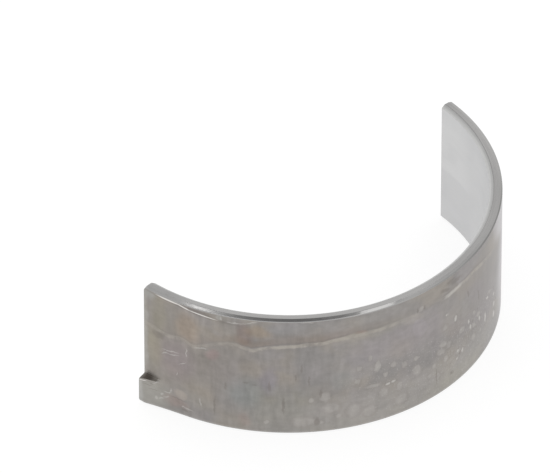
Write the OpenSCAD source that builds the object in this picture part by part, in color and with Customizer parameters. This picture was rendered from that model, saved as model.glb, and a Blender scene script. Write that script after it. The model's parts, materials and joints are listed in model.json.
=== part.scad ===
// Half shell of a plain engine bearing: a strip of lined steel rolled to just
// under half a circle, with a locating tang pressed outwards at one end.
// It is drawn as it lies free on a bench, sprung a little wider than the
// housing that closes it in use. +Z is the bearing axis, the crown of the arc
// points to -Y, and the shell stands on the axial edge that carries the tang.

/* [Housing] */
// Bore of the rod or block housing that the shell is pressed into
housing_d = 56; // [48:0.5:64]
// How much wider than the housing the free shell springs, across its back
free_spread = 2.6; // [0.6:0.1:4]
// Height that each parting face stands proud of a half circle once seated
crush = 0.05; // [0:0.01:0.2]

/* [Strip] */
// Thickness of the wall, steel back and lining together
wall = 1.8; // [1.4:0.1:3]
// Length of the shell along the bearing axis
width = 19.9; // [12:0.1:40]

/* [Edges] */
// Chamfer along both axial edges of the bore, measured radially
bore_chamfer_in = 0.55; // [0.1:0.05:0.7]
// Chamfer along both axial edges of the bore, measured along the axis
bore_chamfer_down = 0.4; // [0.1:0.05:0.8]
// Bevel along both axial edges of the back, measured radially
back_bevel_in = 0.5; // [0.1:0.05:0.7]
// Bevel along both axial edges of the back, measured along the axis
back_bevel_down = 0.2; // [0.1:0.05:0.5]
// Chamfer on the bore side of both parting faces
parting_chamfer = 0.05; // [0.05:0.05:0.4]

/* [Tang] */
// Axial width of the tang where its flank leaves the back
tang_w = 4.6; // [2.5:0.1:8]
// Height of the tang above the back, at the parting face
tang_h = 1.15; // [0.4:0.05:1.3]
// Radius of the hollow ramp that runs from the back up to the tang's tip
ramp_r = 80; // [30:1:200]
// How far the ramp's circle dips below the back at its foot
ramp_dip = 0.03; // [0.02:0.005:0.06]
// Slope of the sheared flank away from a square cut
flank_angle = 15; // [0:1:25]

/* [Hidden] */
$fn = 360;

free_r = (housing_d + free_spread) / 2;
bore_r = free_r - wall;
tip_r = free_r + tang_h;

// The strip's length fills half the housing, so a wider free shell spans less
// than half a turn.
strip_len = PI * housing_d / 2 + 2 * crush;
arc = strip_len / free_r * 180 / PI;
// The crown of the arc points to -Y, midway between the parting faces.
crown_angle = -90;
tang_end = crown_angle - arc / 2;

// The ramp is part of a round bar that lies outside the shell, dips a little into
// the back and passes through the tang's tip. The bar's centre stands at ramp_d from
// the bearing axis, over the foot of the ramp, at tang_arc from the parting face.
ramp_d = free_r + ramp_r - ramp_dip;
tang_arc = acos((ramp_d^2 + tip_r^2 - ramp_r^2) / (2 * ramp_d * tip_r));
// Turn about the bearing axis from the foot to where the ramp leaves the back
sunk_arc = acos((ramp_d^2 + free_r^2 - ramp_r^2) / (2 * ramp_d * free_r));

// The tang's own solid stays this far inside the bore, and reaches this far into the
// strip above its flank, so that the two are one piece.
tang_inset = 2 * ramp_dip;
// How far cutting shapes run past the faces that they cut
past = 1;

// The plain strip's cross-section, in radius and height
module strip_section() {
    polygon([
        [bore_r + bore_chamfer_in, 0],
        [free_r - back_bevel_in, 0],
        [free_r, back_bevel_down],
        [free_r, width - back_bevel_down],
        [free_r - back_bevel_in, width],
        [bore_r + bore_chamfer_in, width],
        [bore_r, width - bore_chamfer_down],
        [bore_r, bore_chamfer_down]
    ]);
}

// What the tang is cut from, in radius and height: inside the plain strip on the
// bore side, square at the standing edge, and reaching past the tip.
module blank_section() {
    near = bore_r + tang_inset;
    polygon([
        [near + bore_chamfer_in, 0],
        [tip_r + past, 0],
        [tip_r + past, width - past],
        [near, width - past],
        [near, bore_chamfer_down]
    ]);
}

// The plain rolled strip, starting at the parting face that carries the tang
module rolled_strip() {
    rotate_extrude(angle = arc) strip_section();
}

// The round bar against which the strip is bent, grown by a given amount
module ramp_bar(grown) {
    rotate([0, 0, tang_arc])
        translate([ramp_d, 0, -past])
            cylinder(r = ramp_r + grown, h = width + 2 * past);
}

// The room below the tang's slanted flank, raised by rise, from before the parting
// face round to the foot of the ramp.
module tang_room(rise) {
    reach = tip_r + 2 * past;
    near = bore_r - past;
    intersection() {
        translate([0, 0, -past])
            linear_extrude(height = width + 2 * past)
                polygon([
                    [0, -past],
                    [2 * reach, -past],
                    [2 * reach * cos(tang_arc), 2 * reach * sin(tang_arc)],
                    [0, 0]
                ]);
        translate([0, reach, 0])
            rotate([90, 0, 0])
                linear_extrude(height = 2 * reach)
                    polygon([
                        [near, -past],
                        [reach, -past],
                        [reach, tang_w + rise - (reach - free_r) * tan(flank_angle)],
                        [near, tang_w + rise + (free_r - near) * tan(flank_angle)]
                    ]);
    }
}

// The strip bent outwards against the bar. It starts where the ramp is still sunk in
// the plain strip.
module tang() {
    difference() {
        intersection() {
            rotate_extrude(angle = tang_arc - 0.9 * sunk_arc) blank_section();
            tang_room(tang_inset);
        }
        ramp_bar(0);
    }
}

// The hollow that the bent strip leaves in the bore, under the tang
module tang_recess() {
    difference() {
        tang_room(0);
        ramp_bar(wall);
    }
}

// Prism that takes the bore-side corner off a parting face. inwards is 1 where
// the strip runs on counter-clockwise from that face, else -1.
module parting_cut(inwards) {
    translate([bore_r, 0, -past])
        linear_extrude(height = width + 2 * past)
            polygon([
                [-past, -inwards * past],
                [parting_chamfer + past, -inwards * past],
                [-past, inwards * (parting_chamfer + past)]
            ]);
}

module bearing_shell() {
    color("#97928d")
        rotate([0, 0, tang_end])
            difference() {
                union() {
                    rolled_strip();
                    tang();
                }
                tang_recess();
                parting_cut(1);
                rotate([0, 0, arc]) parting_cut(-1);
            }
}

bearing_shell();
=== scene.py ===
"""Looks of an engine bearing shell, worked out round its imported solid.

Everything is in metres, in the part's own frame: +Z runs along the bearing axis, the crown
of the arc points to -Y, and the locating tang is at the -X end of the standing edge.
The surface is described on the unrolled strip: along runs from the tang's parting face round
the back, height up from the standing edge, and depth from the back towards the bore. The
finishes read these three in millimetres.
"""

import json
import logging
import math
from abc import ABC, abstractmethod
from dataclasses import dataclass
from enum import Enum
from functools import reduce
from typing import Optional, Union

import bpy
import numpy as np
from mathutils import Matrix, Vector


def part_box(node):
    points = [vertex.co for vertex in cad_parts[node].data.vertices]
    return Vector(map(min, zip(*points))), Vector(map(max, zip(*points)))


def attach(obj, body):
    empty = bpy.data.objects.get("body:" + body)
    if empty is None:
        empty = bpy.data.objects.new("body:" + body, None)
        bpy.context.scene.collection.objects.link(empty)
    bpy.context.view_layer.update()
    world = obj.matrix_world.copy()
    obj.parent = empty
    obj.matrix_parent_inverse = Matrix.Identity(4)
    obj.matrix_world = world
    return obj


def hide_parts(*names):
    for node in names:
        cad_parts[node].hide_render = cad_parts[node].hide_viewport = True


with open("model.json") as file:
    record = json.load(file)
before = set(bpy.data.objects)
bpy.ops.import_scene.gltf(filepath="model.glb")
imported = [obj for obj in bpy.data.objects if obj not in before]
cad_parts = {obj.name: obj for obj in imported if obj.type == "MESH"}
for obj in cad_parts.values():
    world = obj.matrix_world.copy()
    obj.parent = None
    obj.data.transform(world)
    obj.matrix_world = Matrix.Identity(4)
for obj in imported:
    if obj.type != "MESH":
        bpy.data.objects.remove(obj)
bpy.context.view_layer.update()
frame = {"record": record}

LOG = logging.getLogger("bearing_shell")
NODE = "bearing_shell"
BODY = "root"
MM = 0.001
STRIP = "strip_mm"

Colour = tuple[float, float, float]
Feed = Union["Value", bpy.types.NodeSocket, float, int, tuple]
Painted = tuple[Feed, "Value"]
# A span has a start and an end, and an ease also the results at both. A stretch has the places
# where something starts, is full, begins to fade and ends.
Span = tuple[float, float]
Ease = tuple[float, float, float, float]
Stretch = tuple[float, float, float, float]
Curve = tuple[Span, ...]
Bevel = tuple[np.ndarray, np.ndarray]
Border = tuple[np.ndarray, np.ndarray, np.ndarray, np.ndarray]

# Points on each of a bevel's rounds, and rows from the bevel's middle to the side
ARC_POINTS = 6
BEVEL_ROWS = ARC_POINTS + 1
# Share of the way from a round to the bevel's middle at which a point holds the flat
HOLD_SHARE = 0.12
# Rows of a side below, over and above the flank; those of its crest keep the ramp's finish
LOWER_ROWS = 12
FLANK_ROWS = 15
CREST_ROWS = 3
UPPER_ROWS = 42
# Points on the flat of a rim
RIM_COLUMNS = 6
# Stations by the parting faces, over the tang and along the plain strip, in millimetres
PARTING_STEPS = (0, 0.01, 0.025, 0.05, 0.08, 0.12, 0.16, 0.2, 0.27)
TANG_START = 0.36
TANG_STEP = 0.16
PLAIN_INSET = 0.5
PLAIN_STATIONS = 250

# A random field's average, and the strength of each finer octave
MEAN = 0.5
OCTAVE = 0.55
# Half sizes at which a mark's soft edge begins and ends, and its room for shaking in mm
MARK_OUTER = 1.4
MARK_INNER = 0.6
MARK_ROOM = 1.0


class Zone(Enum):
    """Parts of the shell's surface; the value is the place of the zone's material.

    The first four are stretches of the back, from the tang's end on.
    """

    TANG_END = 0
    LEFT = 1
    RIGHT = 2
    PLAIN_END = 3
    EDGE = 4
    LINING = 5
    SHEAR = 6
    CHAMFER = 7


class Band(Enum):
    """How a point of the section finds its height on the strip."""

    BOTTOM = 0
    LOWER = 1
    FLANK = 2
    UPPER = 3
    TOP = 4


def srgb(red: int, green: int, blue: int) -> Colour:
    """Turns a screen colour of 0 to 255 into the linear colour that a shader takes.

    Args:
        red: screen red.
        green: screen green.
        blue: screen blue.

    Returns:
        The linear colour.
    """
    share = np.array([red, green, blue]) / 255
    linear = np.where(share <= 0.04045, share / 12.92, ((share + 0.055) / 1.055) ** 2.4)
    return tuple(float(part) for part in linear)


def dimmed(colour: Colour, share: float) -> Colour:
    """A colour times a share."""
    return tuple(part * share for part in colour)


def smooth_step(place: np.ndarray, start: float, end: float) -> np.ndarray:
    """Runs from 0 at start to 1 at end, level outside, as three times the square less two cubes.

    Args:
        place: where it is wanted.
        start: where the rise begins.
        end: where it is complete.

    Returns:
        The share.
    """
    share = np.clip((place - start) / (end - start), 0, 1)
    return share * share * (3 - 2 * share)


def quarter_round(radius: float, room: np.ndarray) -> np.ndarray:
    """How far a rounded corner stands back from one of its faces.

    It is the radius less the root of its square less the square of what room lacks of it.

    Args:
        radius: the corner's radius.
        room: distance from the corner's other face.

    Returns:
        The distance, zero where room is a radius or more.
    """
    short = np.maximum(radius - room, 0)
    return radius - np.sqrt(radius**2 - short**2)


def coons(back: np.ndarray, bore: np.ndarray, low: np.ndarray, high: np.ndarray) -> np.ndarray:
    """Fills the room between four border runs.

    A Coons patch: the two blends between opposite borders are added, and the blend of the
    four corners is taken away. The blends go by the share of the rows and of the columns.

    Args:
        back: border up the back.
        bore: border up the bore.
        low: border across the standing edge.
        high: border across the upper rim.

    Returns:
        Grid of points, borders included, rows by columns.
    """
    up = np.linspace(0, 1, len(back))[:, None, None]
    over = np.linspace(0, 1, len(low))[None, :, None]
    sides = (1 - over) * back[:, None] + over * bore[:, None]
    rims = (1 - up) * low[None] + up * high[None]
    corners = (
        (1 - over) * ((1 - up) * back[0] + up * back[-1])
        + over * ((1 - up) * bore[0] + up * bore[-1])
    )
    return sides + rims - corners


def bearing(azimuth: float, elevation: float) -> Vector:
    """Unit vector towards a place seen from the part; azimuth 0 is -Y and 90 is +X.

    Args:
        azimuth: degrees round the vertical.
        elevation: degrees above the horizon.

    Returns:
        The direction.
    """
    turn, rise = math.radians(azimuth), math.radians(elevation)
    level = math.cos(rise)
    return Vector((math.sin(turn) * level, -math.cos(turn) * level, math.sin(rise)))


class Value:
    """A number that changes over a surface: a socket whose arithmetic adds Math nodes."""

    def __init__(self, tree: "ShaderTree", socket: bpy.types.NodeSocket) -> None:
        """Wraps a socket of a shader tree."""
        self.tree = tree
        self.socket = socket

    def maths(self, operation: str, *others: Feed, flipped: bool = False) -> "Value":
        """Adds one Math node.

        Args:
            operation: the Math node's operation.
            others: its further inputs.
            flipped: puts this value after the others.

        Returns:
            The node's result.
        """
        feeds = [*others, self] if flipped else [self, *others]
        return self.tree.value("ShaderNodeMath", {"operation": operation}, dict(enumerate(feeds)))

    def __add__(self, other: Feed) -> "Value":
        """Sum."""
        return self.maths("ADD", other)

    __radd__ = __add__

    def __sub__(self, other: Feed) -> "Value":
        """Difference."""
        return self.maths("SUBTRACT", other)

    def __rsub__(self, other: Feed) -> "Value":
        """Difference from a number."""
        return self.maths("SUBTRACT", other, flipped=True)

    def __mul__(self, other: Feed) -> "Value":
        """Product."""
        return self.maths("MULTIPLY", other)

    __rmul__ = __mul__

    def least(self, other: Feed) -> "Value":
        """The smaller of the two."""
        return self.maths("MINIMUM", other)

    def most(self, other: Feed) -> "Value":
        """The larger of the two."""
        return self.maths("MAXIMUM", other)

    def eased(self, start: float, end: float, low: float = 0.0, high: float = 1.0) -> "Value":
        """Runs smoothly from low at start to high at end, and stays level outside.

        Args:
            start: where the change begins.
            end: where it is complete; it may lie below start.
            low: result at start.
            high: result at end.

        Returns:
            The eased value.
        """
        if start > end:
            start, end, low, high = end, start, high, low
        return self.tree.value(
            "ShaderNodeMapRange",
            {"interpolation_type": "SMOOTHSTEP"},
            {0: self, 1: start, 2: end, 3: low, 4: high},
        )

    def within(self, start: float, full: float, fading: float, end: float) -> "Value":
        """Rises from 0 at start to 1 at full, and falls from 1 at fading to 0 at end.

        Args:
            start: where the rise begins.
            full: where it is complete.
            fading: where the fall begins.
            end: where it is complete.

        Returns:
            The rise times the fall.
        """
        return self.eased(start, full) * self.eased(end, fading)


class ShaderTree:
    """The nodes of one material or of the world."""

    def __init__(self, owner: Union[bpy.types.Material, bpy.types.World]) -> None:
        """Empties the owner's tree and takes it over.

        Args:
            owner: the material or the world.
        """
        owner.use_nodes = True
        self.tree = owner.node_tree
        self.tree.nodes.clear()

    def node(
        self,
        kind: str,
        settings: Optional[dict] = None,
        sockets: Optional[dict] = None,
    ) -> bpy.types.Node:
        """Adds a node.

        Args:
            kind: Blender's type of the node.
            settings: its properties, set before its sockets.
            sockets: value or link of each input, by name or place.

        Returns:
            The node.
        """
        made = self.tree.nodes.new(kind)
        for name, setting in (settings or {}).items():
            if name == "stops":
                self.set_stops(made.color_ramp, setting)
            else:
                setattr(made, name, setting)
        for key, feed in (sockets or {}).items():
            self.feed(made.inputs[key], feed)
        return made

    @staticmethod
    def set_stops(ramp: bpy.types.ColorRamp, stops: Curve) -> None:
        """Gives a colour ramp its grey stops, joined by a smooth curve.

        Args:
            ramp: the ramp.
            stops: rising places and their greys, both 0 to 1.
        """
        ramp.interpolation = "CARDINAL"
        ramp.elements.remove(ramp.elements[1])
        first = ramp.elements[0]
        first.position = stops[0][0]
        first.color = (*(stops[0][1],) * 3, 1.0)
        for place, grey in stops[1:]:
            ramp.elements.new(place).color = (grey, grey, grey, 1.0)

    def feed(self, socket: bpy.types.NodeSocket, feed: Feed) -> None:
        """Links or sets one input.

        Args:
            socket: the input.
            feed: a value, a socket, a number, or a tuple for a vector or colour.
        """
        if isinstance(feed, Value):
            self.tree.links.new(feed.socket, socket)
        elif isinstance(feed, bpy.types.NodeSocket):
            self.tree.links.new(feed, socket)
        elif socket.type == "RGBA":
            socket.default_value = (*feed, 1.0)
        else:
            socket.default_value = feed

    def value(self, kind: str, settings: dict, sockets: dict, output: Union[str, int] = 0) -> Value:
        """Adds a node and wraps one of its outputs.

        Args:
            kind: Blender's type of the node.
            settings: its properties.
            sockets: its inputs.
            output: name or place of the output.

        Returns:
            The output's value.
        """
        return Value(self, self.node(kind, settings, sockets).outputs[output])

    def vector(self, operation: str, *feeds: Feed) -> bpy.types.Node:
        """Adds one Vector Math node."""
        return self.node("ShaderNodeVectorMath", {"operation": operation}, dict(enumerate(feeds)))

    def mix(self, share: Feed, first: Feed, second: Feed, how: str = "MIX") -> bpy.types.NodeSocket:
        """Mixes two colours.

        Args:
            share: how much of the second is taken.
            first: colour at share 0.
            second: colour at share 1.
            how: the mix's blend type.

        Returns:
            The mixed colour's socket.
        """
        settings = {"data_type": "RGBA", "blend_type": how, "clamp_factor": True}
        return self.node("ShaderNodeMix", settings, {0: share, 6: first, 7: second}).outputs[2]

    def grey(self, level: Value) -> bpy.types.NodeSocket:
        """A grey of a varying level, as a colour."""
        return self.node("ShaderNodeCombineColor", {}, {0: level, 1: level, 2: level}).outputs[0]

    def noise(self, place: Feed, size: tuple[float, float, float], detail: float) -> Value:
        """Smooth random field, about MEAN on average.

        Args:
            place: the coordinates.
            size: the grain's size along each coordinate, in the coordinates' own unit.
            detail: octaves of finer grain.

        Returns:
            The field.
        """
        counted = self.vector("DIVIDE", place, size).outputs[0]
        sockets = {"Vector": counted, "Scale": 1.0, "Detail": detail, "Roughness": OCTAVE}
        return self.value("ShaderNodeTexNoise", {}, sockets)

    def shaken(self, place: Feed, size: float, swing: float) -> bpy.types.NodeSocket:
        """Coordinates shaken along and up by a smooth random field.

        Args:
            place: the coordinates.
            size: the field's grain, in the coordinates' own unit.
            swing: the full swing of the shift, in the same unit.

        Returns:
            The shaken coordinates' socket.
        """
        sockets = {"Vector": place, "Scale": 1 / size, "Detail": 2.0}
        field = self.node("ShaderNodeTexNoise", {}, sockets).outputs["Color"]
        shift = self.vector("SUBTRACT", field, (MEAN, MEAN, MEAN)).outputs[0]
        return self.vector("MULTIPLY_ADD", shift, (swing, swing, 0.0), place).outputs[0]

    def agreement(self, way: Feed, other: Vector) -> Value:
        """How far one direction agrees with another: their dot product."""
        return Value(self, self.vector("DOT_PRODUCT", way, tuple(other)).outputs["Value"])

    def profile(self, across: Value, points: Curve) -> Value:
        """A smooth curve through given points, level past its ends.

        Args:
            across: where on the curve.
            points: rising places, each with the curve's value there.

        Returns:
            The curve's value.
        """
        places, values = zip(*points)
        first, span = places[0], places[-1] - places[0]
        low, rise = min(values), max(values) - min(values)
        stops = tuple(((place - first) / span, (value - low) / rise) for place, value in points)
        share = (across - first) * (1 / span)
        return self.value("ShaderNodeValToRGB", {"stops": stops}, {0: share}) * rise + low


@dataclass(frozen=True)
class Grain:
    """A smooth random field on the strip.

    size is its grain in mm along, up and in depth, and detail its octaves. shake, where it is
    given, is the grain and the swing in mm of a second field that shakes its coordinates.
    """

    size: tuple[float, float, float]
    detail: float = 2.0
    shake: Optional[Span] = None


@dataclass
class Skin:
    """A surface while it is painted: its nodes, its coordinates on the strip and its tone so far."""

    tree: ShaderTree
    place: bpy.types.NodeSocket
    along: Value
    height: Value
    depth: Value
    tone: Feed

    @classmethod
    def of(cls, material: bpy.types.Material, tone: Colour) -> "Skin":
        """Starts on an empty material.

        Args:
            material: the material.
            tone: its first colour.

        Returns:
            The skin, with the strip's coordinates in millimetres.
        """
        tree = ShaderTree(material)
        place = tree.node("ShaderNodeAttribute", {"attribute_name": STRIP}).outputs["Vector"]
        split = tree.node("ShaderNodeSeparateXYZ", {}, {0: place})
        return cls(tree, place, *(Value(tree, output) for output in split.outputs), tone)

    def shaken(self, shake: Span) -> bpy.types.NodeSocket:
        """The strip's coordinates, shaken by a field of the given grain and swing."""
        return self.tree.shaken(self.place, *shake)

    def field(self, grain: Grain) -> Value:
        """The random field of a grain."""
        place = self.shaken(grain.shake) if grain.shake else self.place
        return self.tree.noise(place, grain.size, grain.detail)

    def profile(self, points: Curve) -> Value:
        """The value of a curve along the strip."""
        return self.tree.profile(self.along, points)

    def lay(self, cover: Feed, colour: Feed, how: str = "MIX") -> None:
        """Lays a colour over the tone so far, as far as cover says."""
        self.tone = self.tree.mix(cover, self.tone, colour, how)

    def shade(self, strength: float, swing: Value) -> None:
        """Lightens and darkens the tone by a field that swings about zero."""
        self.lay(strength, self.tree.grey(MEAN + swing), "OVERLAY")

    def close(self, rough: Feed, metallic: float, relief: Value, rise: float) -> None:
        """Ends the tree in one Principled shader.

        Args:
            rough: roughness.
            metallic: metallic share, the same all over.
            relief: height field of the fine relief.
            rise: how high a step of 1 in that field stands, in metres.
        """
        sockets = {"Height": relief, "Distance": rise, "Strength": 1.0}
        bump = self.tree.node("ShaderNodeBump", {}, sockets)
        sockets = {
            "Base Color": self.tone,
            "Roughness": rough,
            "Metallic": metallic,
            "Normal": bump.outputs[0],
        }
        shader = self.tree.node("ShaderNodeBsdfPrincipled", {}, sockets)
        self.tree.node("ShaderNodeOutputMaterial", {}, {"Surface": shader.outputs[0]})


@dataclass(frozen=True)
class Finish(ABC):
    """A finish of one zone of the surface."""

    name: str
    base: Colour
    roughness: float
    relief_rise: float
    metallic: float = 1.0

    def material(self) -> bpy.types.Material:
        """Makes the finish's material.

        Returns:
            The new material.
        """
        made = bpy.data.materials.new(self.name)
        skin = Skin.of(made, self.base)
        rough, relief = self.paint(skin)
        skin.close(rough, self.metallic, relief, self.relief_rise)
        return made

    @abstractmethod
    def paint(self, skin: Skin) -> Painted:
        """Lays the finish's colours on a skin.

        Args:
            skin: the skin, in the finish's base colour.

        Returns:
            The roughness, and the height field of the fine relief.
        """


@dataclass(frozen=True)
class Mark:
    """An oval place on the unrolled strip, in millimetres along and up from the standing edge."""

    along: float
    height: float
    half_along: float
    half_height: float
    turn_deg: float = 0.0

    def touches(self, start: float, end: float, spread: float) -> bool:
        """Tells whether the oval, grown to spread times its size, lies on a stretch of the strip.

        Args:
            start: where the stretch begins.
            end: where it ends.
            spread: how far the oval's effect reaches, in its own half sizes.

        Returns:
            Whether any of it may be seen there.
        """
        half = max(self.half_along, self.half_height) * spread + MARK_ROOM
        return start - half < self.along < end + half

    def reach(self, tree: ShaderTree, place: Feed) -> Value:
        """Distance from the oval's centre over its half sizes, which is 1 on its outline.

        Args:
            tree: the material's nodes.
            place: coordinates on the strip.

        Returns:
            The distance.
        """
        sockets = {
            "Vector": place,
            "Location": (self.along, self.height, 0.0),
            "Rotation": (0.0, 0.0, math.radians(self.turn_deg)),
            "Scale": (self.half_along, self.half_height, 1.0),
        }
        turned = tree.node("ShaderNodeMapping", {"vector_type": "TEXTURE"}, sockets).outputs[0]
        return Value(tree, tree.vector("LENGTH", turned).outputs["Value"])


@dataclass(frozen=True)
class Tint:
    """A soft stain of another colour."""

    mark: Mark
    colour: Colour
    strength: float
    soft: float = 0.6

    def lay_on(self, skin: Skin, place: Feed) -> None:
        """Lays the stain on a skin, at coordinates that may be shaken."""
        reach = self.mark.reach(skin.tree, place)
        skin.lay(reach.eased(1 + self.soft, 1 - self.soft, 0.0, self.strength), self.colour)


@dataclass(frozen=True)
class Coat:
    """A colour on marks: how far it covers what is beneath, and its size over the marks' own."""

    colour: Colour
    cover: float
    grown: float = 1.0


@dataclass(frozen=True)
class MarkGroup:
    """Marks of one kind and the coats that are laid on them in turn; frayed ones are shaken."""

    marks: tuple[Mark, ...]
    coats: tuple[Coat, ...]
    frayed: bool = True

    def lay_on(self, skin: Skin, shaken: Feed, start: float, end: float) -> None:
        """Lays the coats on the marks of one stretch of the strip.

        Each place takes its distance from the nearest mark, in that mark's own half sizes.

        Args:
            skin: the skin.
            shaken: the strip's coordinates, shaken.
            start: where the stretch begins.
            end: where it ends.
        """
        spread = MARK_OUTER * max(coat.grown for coat in self.coats)
        here = [mark for mark in self.marks if mark.touches(start, end, spread)]
        if not here:
            return
        place = shaken if self.frayed else skin.place
        nearest = reduce(Value.least, [mark.reach(skin.tree, place) for mark in here])
        for coat in self.coats:
            outer, inner = MARK_OUTER * coat.grown, MARK_INNER * coat.grown
            skin.lay(nearest.eased(outer, inner, 0.0, coat.cover), coat.colour)


HEAT_TINTS_AND_SHEEN: tuple[Tint, ...] = (
    Tint(Mark(5.0, 11.5, 8.0, 8.5), srgb(150, 142, 131), 0.41, 0.7),
    Tint(Mark(12.5, 10.0, 5.0, 4.0), srgb(138, 132, 128), 0.35, 0.6),
    Tint(Mark(7.3, 16.2, 1.8, 2.3), srgb(164, 146, 127), 0.4, 0.5),
    Tint(Mark(2.6, 16.2, 1.3, 2.7), srgb(146, 141, 123), 0.41),
    Tint(Mark(1.8, 10.0, 1.4, 3.2), srgb(156, 150, 132), 0.38),
    Tint(Mark(5.4, 9.6, 2.6, 3.1), srgb(146, 135, 140), 0.41),
    Tint(Mark(11.0, 12.5, 1.0, 0.8), srgb(166, 138, 138), 0.30),
    Tint(Mark(15.4, 17.0, 1.0, 1.9), srgb(131, 116, 110), 0.55, 0.55),
    Tint(Mark(17.6, 17.6, 1.8, 1.0), srgb(168, 148, 122), 0.38),
    Tint(Mark(24.5, 18.3, 4.5, 0.9), srgb(150, 152, 154), 0.38),
    Tint(Mark(15.6, 6.8, 2.3, 2.4), srgb(140, 147, 147), 0.38),
    Tint(Mark(18.9, 9.2, 1.1, 2.2), srgb(136, 132, 146), 0.38),
    Tint(Mark(20.5, 4.6, 4.2, 3.6), srgb(145, 144, 132), 0.34),
    Tint(Mark(15.6, 1.9, 0.8, 1.0), srgb(160, 140, 132), 0.30),
    Tint(Mark(5.4, 2.1, 1.7, 0.8, -8), srgb(156, 137, 131), 0.4),
    Tint(Mark(8.8, 3.5, 2.6, 0.9, -10), srgb(162, 157, 149), 0.34),
    Tint(Mark(29.0, 8.8, 1.6, 1.4), srgb(145, 149, 150), 0.30),
    Tint(Mark(32.0, 12.5, 2.4, 1.6), srgb(146, 140, 148), 0.30),
    Tint(Mark(38.5, 12.8, 5.5, 2.4), srgb(150, 142, 148), 0.34),
    Tint(Mark(40.0, 15.7, 1.6, 0.6), srgb(165, 159, 153), 0.5, 0.3),
    Tint(Mark(41.0, 13.8, 1.1, 1.7, 8), srgb(161, 155, 159), 0.5, 0.16),
    Tint(Mark(43.6, 11.5, 1.2, 4.0), srgb(142, 136, 140), 0.30),
    Tint(Mark(47.8, 9.6, 1.6, 1.5), srgb(136, 128, 124), 0.38),
    Tint(Mark(50.0, 12.3, 1.5, 1.8), srgb(144, 146, 140), 0.30),
    Tint(Mark(52.8, 12.8, 2.6, 1.6, -30), srgb(146, 140, 150), 0.34),
    Tint(Mark(30.5, 1.0, 9.0, 0.9), srgb(162, 159, 152), 0.30),
    Tint(Mark(48.5, 1.2, 5.5, 1.6), srgb(164, 162, 146), 0.38),
    Tint(Mark(57.5, 14.5, 3.5, 3.5), srgb(164, 157, 153), 0.2),
    Tint(Mark(56.8, 7.5, 3.0, 4.0), srgb(155, 147, 151), 0.3),
    Tint(Mark(0.1, 11.5, 0.6, 8.0), srgb(172, 170, 165), 0.6, 0.5),
    Tint(Mark(41.0, 2.6, 21.0, 3.4), srgb(166, 162, 157), 0.5, 0.5),
    Tint(Mark(46.0, 12.5, 9.0, 4.0), srgb(162, 157, 154), 0.4, 0.7),
    Tint(Mark(1.4, 2.3, 2.8, 2.4), srgb(170, 168, 161), 0.52, 0.45),
    Tint(Mark(6.2, 3.7, 1.0, 0.8), srgb(169, 160, 152), 0.55, 0.3),
    Tint(Mark(0.1, 2.3, 0.45, 2.0), srgb(180, 180, 178), 0.5, 0.5),
    Tint(Mark(11.9, 19.3, 0.6, 0.5), srgb(166, 165, 161), 0.55, 0.3),
    Tint(Mark(54.5, 11.0, 6.0, 6.0), srgb(142, 137, 134), 0.4, 0.5),
    Tint(Mark(26.0, 17.3, 5.0, 1.6), srgb(145, 134, 125), 0.3, 0.6),
    Tint(Mark(32.0, 11.5, 6.0, 3.5), srgb(160, 156, 153), 0.35, 0.6),
    Tint(Mark(31.7, 16.6, 1.0, 0.4), srgb(172, 144, 131), 0.35, 0.4),
    # Painted highlight: the back lighter at the tang end's upper corner, blending into the rim
    Tint(Mark(0.9, 19.3, 1.5, 0.9), srgb(163, 162, 158), 0.65, 0.5),
    Tint(Mark(29.2, 16.35, 2.0, 0.35, 8), srgb(166, 160, 150), 0.55, 0.3),
    Tint(Mark(35.0, 18.4, 8.0, 1.4), srgb(161, 157, 153), 0.4, 0.6),
    Tint(Mark(33.5, 16.1, 6.0, 0.8, 4), srgb(162, 157, 148), 0.35, 0.5),
    Tint(Mark(33.9, 10.0, 0.35, 0.9, -12), srgb(188, 185, 181), 0.4, 0.3),
)
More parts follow.
